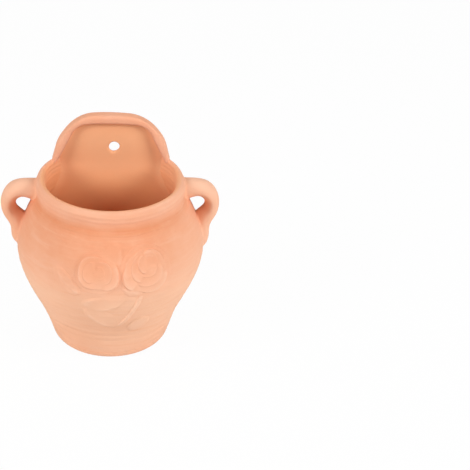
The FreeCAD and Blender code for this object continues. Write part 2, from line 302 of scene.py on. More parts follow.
def firedClay(name, paleShare, turned, grain=0.00022, wearAndPaintedLight=False, outside="outside",
              inside="inside"):
    # colour by height under clouds, pale patches, turning streaks, grit, painted light on the right
    # and painted shade on the left; the mesh's shade says where sprig tops are paler (wear and
    # painted highlight), where handles take painted shade on their inner sides and roots and roses
    # a flush at the middle, and on the other pieces where the inside's painted-shade colour lies
    material = bpy.data.materials.new(name)
    material.use_nodes = True
    tree = material.node_tree
    shader = tree.nodes["Principled BSDF"]
    shader.inputs["Roughness"].default_value = clay["roughness"]
    shader.inputs["Specular IOR Level"].default_value = clay["gloss"]
    place = addNode(tree, "ShaderNodeTexCoord").outputs["Object"]
    parts = addNode(tree, "ShaderNodeSeparateXYZ")
    tree.links.new(place, parts.inputs[0])
    side, height = parts.outputs["X"], parts.outputs["Z"]
    cloud, patch, streak, grit, fine = (noise(tree, place, *clay[key]) for key in
                                        ("cloud", "patch", "streak", "grit", "fine"))
    shade = addNode(tree, "ShaderNodeAttribute", attribute_name="shade").outputs["Fac"]
    colour = heightColour(tree, height, clay[outside])
    colour = wash(tree, colour, streak, "streakPale", turned)
    colour = wash(tree, colour, streak, "streakFlush", turned)
    colour = wash(tree, colour, patch, "patchPale", paleShare)
    # painted shade: the inside's darker, more saturated colour takes over as far as the mesh's
    # shade says
    if not wearAndPaintedLight:
        colour = blendColour(tree, shade, colour, heightColour(tree, height, clay[inside]))
    # painted light: paler on the right side; painted shade: a little more flush on the left
    washes = [(cloud, "cloudFlush"), (side, "rightPaintedLight"), (side, "leftPaintedShade")]
    if wearAndPaintedLight:
        washes += [(shade, "wearAndHighlightPale"), (shade, "paintedShadeAndBlush")]
    for value, key in washes + [(grit, "gritDark"), (grit, "gritPale")]:
        colour = wash(tree, colour, value, key)
    tree.links.new(colour, shader.inputs["Base Color"])
    relief = addNode(tree, "ShaderNodeMath", operation="MULTIPLY_ADD")
    tree.links.new(streak, relief.inputs[0])
    relief.inputs[1].default_value = clay["streakBump"] * turned
    tree.links.new(fine, relief.inputs[2])
    bump = addNode(tree, "ShaderNodeBump", Strength=clay["bump"], Distance=grain)
    tree.links.new(relief.outputs[0], bump.inputs["Height"])
    tree.links.new(bump.outputs["Normal"], shader.inputs["Normal"])
    return material


# share of pale patches, strength of the turning streaks
terracotta = firedClay("terracotta", 0.16, 1.0, inside="shadedWell")
terracottaBack = firedClay("terracottaBack", 0.10, 0.2, outside="back")
terracottaRaised = firedClay("terracottaRaised", 0.14, 0.3)
terracottaHandle = firedClay("terracottaHandle", 0.16, 0.3, wearAndPaintedLight=True, outside="handle")
terracottaRelief = firedClay("terracottaRelief", 0.16, 0.15, grain=0.00028, wearAndPaintedLight=True)
print("clay mixed")

# the round pot: its outside as (radius, height), shared by wall, floor, slab and sprigs

pot = {
    "profile": [(53.7, 0.0), (57.6, 2.7), (60.3, 9.0), (62.7, 17.0), (65.8, 28.0), (77.9, 56.0),
                (88.9, 84.0), (92.4, 106.0), (83.0, 138.0), (76.7, 150.3), (73.1, 156.6),
                (71.8, 160.0)],
    "neck": 160.0, "floorTop": 9.0, "floorRound": 9.0, "thickness": 7.5,
    # more clay on the inside: how much, at what height, how far up and down
    "neckThick": (3.0, 150, 8),
    "cornerCoil": (5.5, 143, 14),
    "coilTurn": (86, 118),  # degrees from the front between which the coil sets in
    # less clay where wall and lip run into the slab: how much, and where it sets in
    "endThinning": 3.4,
    "thinTurn": (85, 124),
    "thinHeight": (120, 166),
    "buried": 0.3,  # how far their ends go into the slab
    "insideMarks": (0.10, 0.75),  # depth and pitch
    "marksStart": (10, 25),
    "marksEnd": (160, 150),
    "columns": 264, "bellyRows": 112, "neckRows": 58, "neckFrom": 141,
}
profileTable = evenCurve(pot["profile"], 1500)
profileSlope = np.gradient(profileTable[:, 0]) / np.gradient(profileTable[:, 1])


def formRadius(z):
    return np.interp(z, profileTable[:, 1], profileTable[:, 0])


def formSlope(z):
    return np.interp(z, profileTable[:, 1], profileSlope)


def innerRadius(theta, z):
    # the wall's inside: even thickness, more below the neck, a coil worked into the back corners
    thick, at, spread = pot["neckThick"]
    neck = thick * bell(z, at, spread)
    thick, at, spread = pot["cornerCoil"]
    coil = thick * bell(z, at, spread) * smoothStep(*pot["coilTurn"], np.degrees(np.abs(theta)))
    return formRadius(z) - pot["thickness"] - np.maximum(neck, coil)


throwing = {
    "depth": 0.20,
    # ridges: share, pitch, sway, turns of the sway, its start
    "neck": [(1.1, 1.02, 0.5, 1.0, 1.0), (0.44, 2.5, 1.1, 1.3, 0.0)],
    "foot": [(1.3, 0.62, 1.2, 1.5, 2.0)],
    "footUneven": (0.6, 2, 4),  # round the pot: share, turns, start
    "allOver": [(0.45, 0.83, 0.9, 2.0, 0.0), (0.3, 1.55, 1.0, 3.0, 0.0)],
    # height and spread of the two bands
    "neckBand": (151, 8),
    "footBand": (33, 17),
    # heights over which the rings set in and end
    "start": (8, 16),
    "end": (160, 157),
}


def throwingRings(theta, z):
    # finger ridges: share * sin(z * pitch + sway * sin(theta * turns + start)), added up over the
    # whole pot and, stronger, in a band at the neck and one at the foot
    neck, foot, allOver = (
        sum(share * np.sin(z * pitch + sway * np.sin(theta * turns + start))
            for share, pitch, sway, turns, start in throwing[key])
        for key in ("neck", "foot", "allOver"))
    share, turns, start = throwing["footUneven"]
    foot = foot * (1 + share * np.sin(theta * turns + start))
    rings = neck * bell(z, *throwing["neckBand"]) + foot * bell(z, *throwing["footBand"]) + allOver
    fade = smoothStep(*throwing["start"], z) * smoothStep(*throwing["end"], z)
    return throwing["depth"] * rings * fade


def endTurn(radius):
    # the turn from the front at which a circle of that radius meets the slab, a little inside it
    share = (axisToSlab + pot["buried"]) / np.maximum(radius, 1)
    return math.pi - np.arccos(np.clip(share, 0, 1))


def endThinning(theta, z):
    # how much thinner wall and lip get from inside where they run into the slab
    back = smoothStep(*pot["thinTurn"], np.degrees(np.abs(theta)))
    return pot["endThinning"] * back * smoothStep(*pot["thinHeight"], z)


def roundPoints(theta, radius, z):
    x, y = radius * np.sin(theta), axisBack - radius * np.cos(theta)
    return np.stack(np.broadcast_arrays(x, y, z), -1)


def onWall(theta, z, lift, rings=1.0):
    # a point of the pot's outside moved off it along the outward normal of the profile
    slope = formSlope(z)
    straight = 1 / np.sqrt(1 + slope ** 2)
    radius = formRadius(z) + throwingRings(theta, z) * rings
    return roundPoints(theta, radius + lift * straight, z - lift * slope * straight)


def potWall():
    # arcs from slab to slab, up the outside and down the inside
    belly = np.linspace(pot["floorTop"], pot["neckFrom"], pot["bellyRows"])
    neck = np.linspace(pot["neckFrom"], pot["neck"], pot["neckRows"])
    z = np.concatenate([belly[:-1], neck])[:, None]  # closer where the rings are fine
    across = np.linspace(-1, 1, pot["columns"])[None, :]
    outer = formRadius(z)
    theta = across * endTurn(outer)
    outside = roundPoints(theta, outer + throwingRings(theta, z), z)
    hollow = filletRise(z - pot["floorTop"], pot["floorRound"])  # inside corner
    theta = across * endTurn(outer - pot["thickness"] - hollow)
    for settle in range(3):  # the end of each row depends on the inside radius there
        inner = innerRadius(theta, z) - hollow + endThinning(theta, z)
        theta = across * endTurn(inner)
    depth, pitch = pot["insideMarks"]
    marks = depth * np.sin(z * pitch + theta)
    marks = marks * smoothStep(*pot["marksStart"], z) * smoothStep(*pot["marksEnd"], z)
    inside = roundPoints(theta, inner + marks, z)
    # painted shade: the inside rows take the well's deeper colour
    shade = np.repeat([0.0, clay["insideShadeShare"]], theta.size)
    makePiece("wallClay", "pot_wall", terracotta,
              [ringGrid(np.concatenate([outside, inside[::-1]]))], shade=shade)


potWall()

disc = {"drain": 7.0, "drainRound": 1.2, "columns": 240, "rings": 60}


def baseFloor():
    # flat underside, rounded foot, level inside and the drain, turned as one closed section
    top, ease, rings = pot["floorTop"], disc["drainRound"], disc["rings"]
    edge = disc["drain"] + ease
    foot = profileTable[profileTable[:, 1] <= top][::6]
    under = np.stack([np.linspace(edge, foot[0, 0] - 0.5, rings), np.zeros(rings)], -1)
    inside = np.stack([np.linspace(foot[-1, 0] - 0.4, edge, rings), np.full(rings, top)], -1)
    bend = np.linspace(0, math.pi / 2, 7)[1:-1]
    upper = np.stack([edge - ease * np.sin(bend), top - ease + ease * np.cos(bend)], -1)
    lower = np.stack([edge - ease * np.cos(bend), ease - ease * np.sin(bend)], -1)
    section = np.concatenate([under, foot, inside, upper, lower])
    radius, z = section[:, :1], section[:, 1:]
    theta = np.linspace(-1, 1, disc["columns"])[None, :] * endTurn(radius)
    # painted shade: the floor's top takes the well's deeper colour
    shade = np.where(z >= top, clay["insideShadeShare"], 0.0) * np.ones(disc["columns"])
    makePiece("floorClay", "base_floor", terracotta,
              [ringGrid(roundPoints(theta, radius, z))], shade=shade)


baseFloor()

lip = {
    # up the outside, over the lip and down the inside as (radius, height)
    "section": [(71.8, 160.0), (71.5, 161.6), (71.6, 163.6), (72.0, 166.5), (72.1, 169.8),
                (71.6, 172.8), (69.9, 175.2), (67.5, 176.0), (65.2, 175.3), (63.8, 173.2),
                (63.4, 170.0), (63.3, 165.0), (63.3, 160.0)],
    "thinFrom": 72.2,  # radius inside which the ends get thinner
    "endRise": 1.6,
    "riseHeights": (162, 175),
    "lines": (0.16, 1.37, 0.6),  # depth, pitch, sway
    "linesStart": (160, 164),
    "insideFrom": 69.0,  # radius inside which the inside's painted-shade colour sets in
    "insideBlend": 2.5,
    "columns": 320, "rows": 90,
}


def mouthLip():
    # the section turned round the mouth; near the slab it thins from inside and rises a little
    section = evenCurve(lip["section"], lip["rows"])
    radius, z = section[:, :1], section[:, 1:]
    across = np.linspace(-1, 1, lip["columns"])[None, :]
    thin = np.clip((lip["thinFrom"] - radius) / pot["thickness"], 0, 1)
    radius = radius + endThinning(across * endTurn(radius), z) * thin
    theta = across * endTurn(radius)
    toSlab = axisToSlab + radius * np.cos(theta)
    rise = filletRise(toSlab, lip["endRise"]) * smoothStep(*lip["riseHeights"], z)
    depth, pitch, sway = lip["lines"]
    lines = depth * np.sin(z * pitch + sway * np.sin(theta * 2))
    lines = lines * smoothStep(*lip["linesStart"], z)
    # painted shade: the lip's inner side takes the well's deeper colour
    inward = np.clip((lip["insideFrom"] - radius) / lip["insideBlend"], 0, 1)
    makePiece("lipClay", "mouth_rim", terracotta,
              [ringGrid(roundPoints(theta, radius + lines, z + rise))],
              shade=clay["insideShadeShare"] * inward)


mouthLip()

hood = {
    "foot": 173.0,
    "outer": {"half": 58.97, "lean": 14.3, "top": 221.5, "crown": 5.0, "corner": 39.0},
    "inner": {"half": 53.6, "lean": 27.0, "top": 212.0, "crown": 1.0, "corner": 16.0},
    "depth": 11.0, "side": 7.0, "square": 3.0,
    "footDepth": 4.0,  # how much deeper the border gets towards its feet
    "deeperFrom": 0.50,  # the share of the way to a foot where that sets in
    # the back of its section, from the inner to the outer edge: share of the width, y
    "back": [(1, -4.0), (1, -2.0), (1, -0.6), (0.9, -0.5), (0.75, -0.25), (0.62, -0.08), (0.5, 0),
             (0.25, 0), (0.08, 0), (0.02, -0.25), (0, -0.9), (0, -2.5), (0, -4.5)],
    "columns": 320, "frontRows": 44,
}


def hoodOutline(edge, count, grow=0.0):
    # right half: leaning side, then an arc that touches side and top; bowed by a parabola, mirrored
    lean = math.radians(edge["lean"])
    half = edge["half"] + grow / math.cos(lean)
    top, corner = edge["top"] + grow, edge["corner"] + grow
    shoulder = top - edge["crown"]
    topHalf = half - (shoulder - hood["foot"]) * math.tan(lean)
    touch = corner * math.tan((math.pi / 2 - lean) / 2)
    start = np.array([topHalf + touch * math.sin(lean), shoulder - touch * math.cos(lean)])
    centre = start - corner * np.array([math.cos(lean), math.sin(lean)])
    swing = np.linspace(lean, math.pi / 2, 80)[:, None]
    arc = centre + corner * np.concatenate([np.cos(swing), np.sin(swing)], 1)
    curve = np.concatenate([[[half, hood["foot"]]], arc, [[0, shoulder]]])
    curve = evenSteps(curve, 600)
    curve[:, 1] += edge["crown"] * np.clip(1 - (curve[:, 0] / topHalf) ** 2, 0, 1)
    whole = np.concatenate([curve, (curve * [-1, 1])[-2::-1]])
    return evenSteps(whole, count)


def hoodBorder():
    # a rounded band between the two outlines: superellipse front, flat back, carried along the hood
    columns = hood["columns"]
    outer, inner = (hoodOutline(hood[edge], columns) for edge in ("outer", "inner"))
    level, out = squaredRound(np.linspace(0, math.pi, hood["frontRows"]), hood["square"])
    bulge = (hood["depth"] - hood["side"]) * out
    front = np.stack([0.5 - 0.5 * level, -hood["side"] - bulge], -1)
    section = np.concatenate([front, hood["back"]])
    flat = outer[None] + (inner - outer)[None] * section[:, :1, None]
    toFoot = smoothStep(hood["deeperFrom"], 1.0, np.abs(np.linspace(-1, 1, columns)))
    deeper = 1 + hood["footDepth"] / hood["depth"] * toFoot
    points = np.stack([flat[..., 0], section[:, 1:] * deeper, flat[..., 1]], -1)
    makePiece("hoodClay", "hood_border", terracottaRaised, [ringGrid(points)])


hoodBorder()

slab = {
    # where the face meets pot and border: height, radius of the hollow, its share on the right
    "hollow": [(120, 18, 0.90), (150, 20, 0.90), (165, 23, 0.90), (185, 22, 0.62), (200, 16, 0.55),
               (208, 9, 0.70), (213, 4, 0.80)],
    "hollowPower": 2.6,
    "runOn": (6, 0.5),  # how far and how steeply the round runs on under the border
    "hoodFrom": 156,  # height where the face's edge starts to move over to the hood
    "dished": 2.5, "dishedFrom": 135,
    # the form its sides follow beside the lip: height, radius
    "besideLip": [(160, 71.8), (165, 71.8), (170, 72.1), (176, 70.0)],
    "uprightFrom": 138,  # above this height the sides are at least as wide as the hood
    "underBorder": 2.0,  # how far the raised part reaches under the border
    "closeRows": 12.0,  # up to this height the rows follow the rounded foot closely
    "backEase": 0.3,  # how much the flat back is drawn in at its sides
    "columns": 185, "sides": 9, "potRows": 150, "hoodRows": 80,
    "holeSide": 3.0, "holeHeight": 185.0, "holeRadius": 5.4, "holeRound": 1.9,
    "holePress": (-0.5, -0.3),  # how far the front lip is pushed aside and down
    "holeWobble": [(0.02, 2, 0.6), (0.015, 3, 2)],  # share, waves round the hole, start
    "holePatch": 10.5,  # half the patch of the face that is laid in rings round the hole
}


def outlineGap(x, z, outline):
    # distance from each point to the outline, positive inside it
    away = (x[..., None] - outline[:, 0]) ** 2 + (z[..., None] - outline[:, 1]) ** 2
    gap = np.sqrt(away.min(-1))
    right = outline[outline[:, 0] >= 0][::-1]
    right = right[np.argsort(right[:, 1])]
    edge = np.interp(z, right[:, 1], right[:, 0], right=0)
    return np.where(np.abs(x) < edge, gap, -gap)


def slabRise(x, z):
    # how far the face comes forward: a hollow round that lies against the pot's inside and runs
    # on up along the border
    lipInside = lip["section"][-1][0]
    inside = np.where(z < pot["neck"], innerRadius(math.pi, z), lipInside)
    inside = inside + endThinning(math.pi, z)
    turn = np.arccos(np.clip(axisToSlab / inside, 0, 1))
    toHood = smoothStep(slab["hoodFrom"], hood["foot"], z)
    edge = inside * np.sin(turn) * (1 - toHood) + hood["inner"]["half"] * toHood
    lean = math.radians(hood["inner"]["lean"])
    beside = (edge - np.abs(x)) * (1 - toHood * (1 - math.cos(lean)))
    within = outlineGap(x, z, hoodOutline(hood["inner"], 400))
    gap = np.where(z < hood["foot"], beside, within)
    heights, radii, right = np.transpose(slab["hollow"])
    radius = np.interp(z, heights, radii) * np.where(x > 0, np.interp(z, heights, right), 1.0)
    past, most = radius * np.tan(turn / 2) - gap, radius * np.sin(turn)
    rise = radius * (1 - np.cos(turn)) * np.clip(past / most, 0, 1) ** slab["hollowPower"]
    far, steep = slab["runOn"]
    rise = rise + np.clip(past - most, 0, far) * steep
    return rise - slab["dished"] * smoothStep(slab["dishedFrom"], hood["foot"], z)


def hangingHole(points, faces):
    # a patch of cells on face and back makes way for rings that close in on a round bore; returns
    # the faces that stay, the rings, and which of them belong to the face
    columns, loop = slab["columns"], points.shape[1]
    x, z = points[:, :columns, 0], points[:, 0, 2]
    row = np.argmin(np.abs(z - slab["holeHeight"]))
    column = np.argmin(np.abs(x[row] - slab["holeSide"]))
    backColumn = 2 * columns + slab["sides"] - 1 - column
    tall = int(round(slab["holePatch"] / (z[-1] - z[-2])))
    wide = int(round(slab["holePatch"] / (x[row, 1] - x[row, 0])))
    r, c = faces[:, 0] // loop, faces[:, 0] % loop
    inPatch = (c >= column - wide) & (c < column + wide)
    inPatch |= (c >= backColumn - wide) & (c < backColumn + wide)
    inPatch &= (r >= row - tall) & (r < row + tall)
    walkRow = row + np.concatenate([np.full(2 * wide, -tall), np.arange(-tall, tall),
                                    np.full(2 * wide, tall), np.arange(tall, -tall, -1)])
    walkColumn = np.concatenate([np.arange(-wide, wide), np.full(2 * tall, wide),
                                 np.arange(wide, -wide, -1), np.full(2 * tall, -wide)])
    frontRing = points[walkRow, column + walkColumn]
    backRing = points[walkRow, backColumn - walkColumn]

    # the bore: a rounded lip in front, a straight part, a rounded lip behind
    middle = np.array([slab["holeSide"], 0, slab["holeHeight"]])
    swing = np.arctan2(frontRing[:, 2] - middle[2], frontRing[:, 0] - middle[0])
    bore, ease = slab["holeRadius"], slab["holeRound"]
    bend = np.linspace(0, math.pi / 2, 10)
    lipRadius, lipDepth = bore + ease * (1 - np.sin(bend)), ease * (1 - np.cos(bend))
    face = slabFront + slab["dished"]
    straight = np.linspace(face + ease, -ease, 6)[1:-1]
    radii = np.concatenate([lipRadius, np.full(len(straight), bore), lipRadius[::-1]])
    depths = np.concatenate([face + lipDepth, straight, -lipDepth[::-1]])
    wobble = sum((share * np.sin(count * swing + start)
                  for share, count, start in slab["holeWobble"]), 1.0)
    circle = np.stack([np.cos(swing) * wobble, 0 * swing, np.sin(swing) * wobble], -1)
    tube = middle + radii[:, None, None] * circle[None]
    tube[..., 1] = depths[:, None]
    pressed = np.concatenate([lipRadius - bore, np.zeros(len(radii) - len(bend))])[:, None] / ease
    tube[..., 0] += slab["holePress"][0] * pressed
    tube[..., 2] += slab["holePress"][1] * pressed

    blend = np.linspace(0, 1, 8)[1:-1, None, None]
    rings = np.concatenate([frontRing[None], frontRing + (tube[0] - frontRing) * blend, tube,
                            tube[-1] + (backRing - tube[-1]) * blend, backRing[None]])
    onFace = np.arange(len(rings)) < 1 + len(blend) + len(bend)
    return faces[~inPatch], rings, onFace


def backSlab():
    # every row is a closed loop in plan: front face, side that carries on the pot's form, flat back
    columns, sides = slab["columns"], slab["sides"]
    close = slab["closeRows"]
    foot = profileTable[profileTable[:, 1] < close][::8, 1]
    potRows = np.concatenate([foot, np.linspace(close + 0.5, hood["foot"], slab["potRows"])])
    hoodEdge = hoodOutline(hood["inner"], 900, grow=slab["underBorder"])
    hoodEdge = hoodEdge[hoodEdge[:, 0] > 0.5]
    hoodRows = np.linspace(hood["foot"] + 0.6, hoodEdge[:, 1].max() - 0.03, slab["hoodRows"])
    z = np.concatenate([potRows, hoodRows])[:, None]
    inPot = np.arange(len(z))[:, None] < len(potRows)
    besideLip = np.interp(z, *np.transpose(slab["besideLip"]))
    around = np.where(z < pot["neck"], formRadius(z), besideLip)
    hoodHalf = np.interp(z, hoodEdge[:, 1], hoodEdge[:, 0])

    def halfWidth(y):
        reach = np.sqrt(np.maximum(around ** 2 - (y - axisBack) ** 2, 0))
        theta = math.pi - np.arctan2(reach, y - axisBack)
        reach = reach + throwingRings(theta, z) * np.sin(theta)
        upright = np.where(z > slab["uprightFrom"], hood["outer"]["half"], 0)
        return np.where(inPot, np.maximum(reach, upright), hoodHalf)

    across = np.linspace(-1, 1, columns)[None, :]
    frontX = across * halfWidth(slabFront)
    frontY = slabFront - slabRise(frontX, np.broadcast_to(z, frontX.shape))
    sideY = slabFront * (1 - np.linspace(0, 1, sides + 2)[None, 1:-1])
    sideX = halfWidth(sideY)
    sideY = np.broadcast_to(sideY, sideX.shape)
    backX = across[:, ::-1] * (halfWidth(0.0) - slab["backEase"])
    x = np.concatenate([frontX, sideX, backX, -sideX[:, ::-1]], 1)
    y = np.concatenate([frontY, sideY, np.zeros_like(backX), sideY[:, ::-1]], 1)
    points, faces = tubeGrid(np.stack([x, y, np.broadcast_to(z, x.shape)], -1))
    faces, rings, onFace = hangingHole(points, faces)
    inFront = np.broadcast_to(np.arange(x.shape[1]) < columns, x.shape)
    ringFront = np.repeat(onFace, rings.shape[1])
    # painted shade: the face, with the hole's front rings, takes the inside's colour
    shade = clay["slabShadeShare"] * np.concatenate([inFront.ravel(), ringFront])
    makePiece("slabClay", "back_slab", terracottaBack,
              [(points, faces), tubeGrid(rings)], shade=shade)


backSlab()

handle = {
    # the strap lies between these two lines of (x, z): matching points from the arm's root to the
    # pad's foot, with half its depth at each
    "outer": [(68.5, 170.4), (76.0, 170.5), (86.0, 170.2), (95.4, 167.5), (102.3, 161.3),
              (106.2, 153.2), (107.2, 146.6), (106.5, 138.7), (103.8, 131.0), (100.5, 124.8),
              (98.9, 119.6), (98.5, 114.5), (98.3, 109.0), (97.2, 103.4), (94.6, 98.8),
              (89.5, 96.0)],
    "inner": [(70.0, 147.8), (73.0, 148.8), (77.5, 150.4), (83.0, 152.8), (87.8, 152.6),
              (91.4, 150.0), (92.8, 145.6), (90.8, 140.6), (86.2, 136.2), (83.0, 131.0),
              (84.0, 124.0), (86.0, 116.0), (87.0, 109.0), (87.2, 103.5), (87.2, 99.3),
              (88.0, 97.0)],
    "halfWide": [12.6, 11.9, 11.3, 11.1, 11.1, 11.1, 11.1, 11.1, 11.2, 11.4, 11.8, 11.8, 11.2, 9.8,
                 7.2, 3.2],
    "behindAxis": 5.5,
    "square": 2.3,
    "innerNarrow": (0.45, 1.4),  # how much narrower its inner side gets, and to what power
    # the soft root where the strap meets the pot: its round, and how much more of it underneath
    "rootRound": 3.0,
    "underRound": 1.2,
    "rootFade": (-6, 0),  # it fades out this far inside the pot
    # how much higher arm and pad sit on each side, and the heights over which that sets in
    "armLift": {"right": 0.8, "left": -0.8},
    "armHeights": (112, 158),
    "padLift": {"right": 0.0, "left": 4.0},
    "padHeights": (118, 98),
    # where a flush darkens the strap: painted shade on the inner side, which faces the pot, and at
    # the arm's root the wall's orange with painted shade in its corner
    "rootColourAndShade": 0.8,
    "rootReach": (8, 0),
    "rootHeights": (135, 150),
    "shadedInnerSide": (-0.1, -0.9),
    # the lip's outside at the arm's root: height, radius
    "besideLip": [(160, 71.8), (164, 71.6), (170, 72.1), (173, 71.5), (176, 68.0)],
    "rows": 160, "around": 72,
}


def rootGap(points):
    # how far points stand off the pot's outside, lip included
    radius, z = np.hypot(points[..., 0], points[..., 1] - axisBack), points[..., 2]
    besideLip = np.interp(z, *np.transpose(handle["besideLip"]))
    return radius - np.where(z < pot["neck"], formRadius(z), besideLip)


def loopHandlePiece(name, node, side):
    # an egg-like superellipse spread between the two lines; near the pot it swells into a soft root
    knots = np.arange(len(handle["outer"]))
    s = np.linspace(0, knots[-1], handle["rows"])
    outer, inner = (np.stack([bentThrough(knots, column, s) for column in np.transpose(line)], -1)
                    for line in (handle["outer"], handle["inner"]))
    wide = bentThrough(knots, handle["halfWide"], s)
    t = aroundOnce(handle["around"])
    level, up = squaredRound(t, handle["square"])
    narrow, power = handle["innerNarrow"]
    level = level * (1 - narrow * np.clip(-up, 0, 1) ** power)
    middle, half = (outer + inner) / 2, (outer - inner) / 2
    depth = np.full(len(s), axisBack + handle["behindAxis"])
    centre = np.stack([middle[:, 0], depth, middle[:, 1]], -1)
    across = np.stack([half[:, 0], 0 * s, half[:, 1]], -1)
    reach = across[:, None] * up[None, :, None]
    reach[..., 1] += wide[:, None] * level
    outward = unit(reach)
    points = centre[:, None] + reach
    height = points[..., 2]
    arm = handle["armLift"][side] * smoothStep(*handle["armHeights"], height)
    pad = handle["padLift"][side] * smoothStep(*handle["padHeights"], height)
    points[..., 2] = height + arm + pad
    radial = unit(points * [1, 1, 0] - [0, axisBack, 0])
    alongWall = outward - radial * (outward * radial).sum(-1, keepdims=True)
    gap = rootGap(points)
    swell = filletRise(gap, handle["rootRound"] - handle["underRound"] * outward[..., 2])
    swell = swell * smoothStep(*handle["rootFade"], gap)
    points = points + alongWall * swell[..., None]
    root = smoothStep(*handle["rootReach"], rootGap(points))
    root = root * smoothStep(*handle["rootHeights"], points[..., 2])
    # painted shade: a flush on the strap's inner side, and at the root the wall's orange with
    # painted shade
    wearAndPaintedLight = -np.maximum(smoothStep(*handle["shadedInnerSide"], up), handle["rootColourAndShade"] * root)
    points[..., 0] *= 1 if side == "right" else -1
    makePiece(name, node, terracottaHandle, [tubeGrid(points)], shade=wearAndPaintedLight)


loopHandlePiece("rightHandleClay", "handle_right", "right")
loopHandlePiece("leftHandleClay", "handle_left", "left")

# sprigs: low forms pressed onto the belly, each a patch of its own that fades into the wall

sprigs = {
    "sunk": 0.3,  # how far a patch's edge goes into the wall
    "underRows": 6,
    "underDepth": 0.9,
    "sharp": 70,
    "ringsFade": (0.9, -0.1),  # lifts between which the wall's throwing rings come back
    "blushArea": 130,
}


def softMax(layers, blur):
    # the highest of several layers with the joins rounded: blur * log(sum(exp(layer / blur)))
    layers = np.stack(layers)
    top = layers.max(0)
    return top + blur * np.log(np.exp((layers - top) / blur).sum(0))


def laySprig(name, node, place, across, up, lift, wearAndHighlight, blush=0.0):
    # local millimetres to points on the belly: turn = angle + across / radius, z follows the wall's
    # lean; a few more rows close the patch underneath
    angle, height = place
    lean = 1 / math.sqrt(1 + formSlope(height) ** 2)
    shrink = np.linspace(1, 0, sprigs["underRows"] + 1)[1:, None]
    lift[0] = lift[0].mean()  # the patch's middle is one point
    across, up = (np.concatenate([way, way[-1:] * shrink]) for way in (across, up))
    lift = np.concatenate([lift, lift[-1:] - sprigs["underDepth"] * (1 - shrink)])
    rings = smoothStep(*sprigs["ringsFade"], lift)
    turn = math.radians(angle) + across / formRadius(height)
    points = onWall(turn, height + up * lean, lift, rings)
    # paler on raised tops, wear with painted highlight, and a flush towards a rose's middle
    wearAndPaintedLight = smoothStep(*wearAndHighlight, lift) - blush * np.exp(-(across ** 2 + up ** 2) / sprigs["blushArea"])
    makePiece(name, node, terracottaRelief, [tubeGrid(points)],
              sprigs["sharp"], wearAndPaintedLight)


def turnFrom(angle, middle):
    # the turn from a middle in degrees to an angle, between -pi and pi
    return (angle - math.radians(middle) + math.pi) % fullTurn - math.pi


roseForm = {
    "rings": 120, "around": 320, "bed": -0.35, "blur": 0.36,
    "drawIn": (0.10, 1.3, 2.2),  # a petal's edge towards its sides: share, limit, power
    "sideDrop": (1.2, 0.72),  # shares of the half spread between which its sides drop
    "dishPower": 2.2,
    "curl": (0.22, 1.2),  # the bud's curl: depth and pitch
    "easeFrom": 0.94,  # share of the reach from which a rose eases into the wall
}
# a petal: turn, half spread, edge radius, lift at its foot, rise to its edge, width of the drop,
# share of the heart's shift; a bud: radius, lift, width of the drop
roseLeft = {
    "place": (-8.0, 121.3), "reach": 22.0, "broad": 1.10, "square": 2.6, "heart": (-2.0, 0.5),
    "lap": 0.2, "bud": (5.0, 0.6, 4.0), "wearAndHighlight": (1.3, 2.9), "blush": 0.5,
    "petals": [
        (150, 80, 18.8, 0.0, 2.9, 2.6, 0.0), (215, 50, 18.4, 0.1, 2.2, 3.0, 0.0),
        (40, 60, 18.2, 0.2, 1.0, 3.8, 0.0), (-20, 58, 19.0, 0.4, 2.4, 1.9, 0.0),
        (270, 55, 18.2, 0.3, 1.2, 4.4, 0.0), (15, 80, 14.0, 0.4, 2.1, 1.9, 0.4),
        (175, 80, 12.4, 0.3, 2.1, 1.9, 0.8), (10, 85, 8.6, 0.5, 1.5, 2.0, 1.0)],
}
roseRight = {
    "place": (21.2, 120.5), "reach": 27.5, "broad": 1.0, "square": 2.15, "heart": (2.0, 8.0),
    "lap": 0.35, "bud": (4.2, 0.7, 3.0), "wearAndHighlight": (1.55, 3.0), "blush": 0.2,
    "petals": [
        (150, 46, 24.0, 0.4, 2.0, 2.8, 0.0), (100, 40, 23.5, 0.4, 1.8, 2.8, 0.0),
        (50, 42, 23.5, 0.4, 2.2, 2.4, 0.0), (0, 46, 22.4, 0.4, 1.2, 3.2, 0.0),
        (-55, 52, 24.4, 0.5, 2.5, 2.8, 0.0), (245, 40, 22.4, 0.4, 1.2, 3.2, 0.0),
        (195, 40, 24.4, 0.4, 2.5, 2.1, 0.0), (178, 70, 17.6, 0.4, 2.4, 2.4, 0.5),
        (55, 55, 14.5, 0.5, 2.3, 2.1, 0.8), (-60, 75, 19.0, 0.5, 2.1, 2.7, 0.3),
        (180, 80, 11.4, 0.4, 2.9, 2.2, 1.0), (50, 62, 9.4, 0.6, 2.1, 2.0, 1.0),
        (-70, 75, 12.5, 0.6, 1.9, 2.5, 0.7)],
}


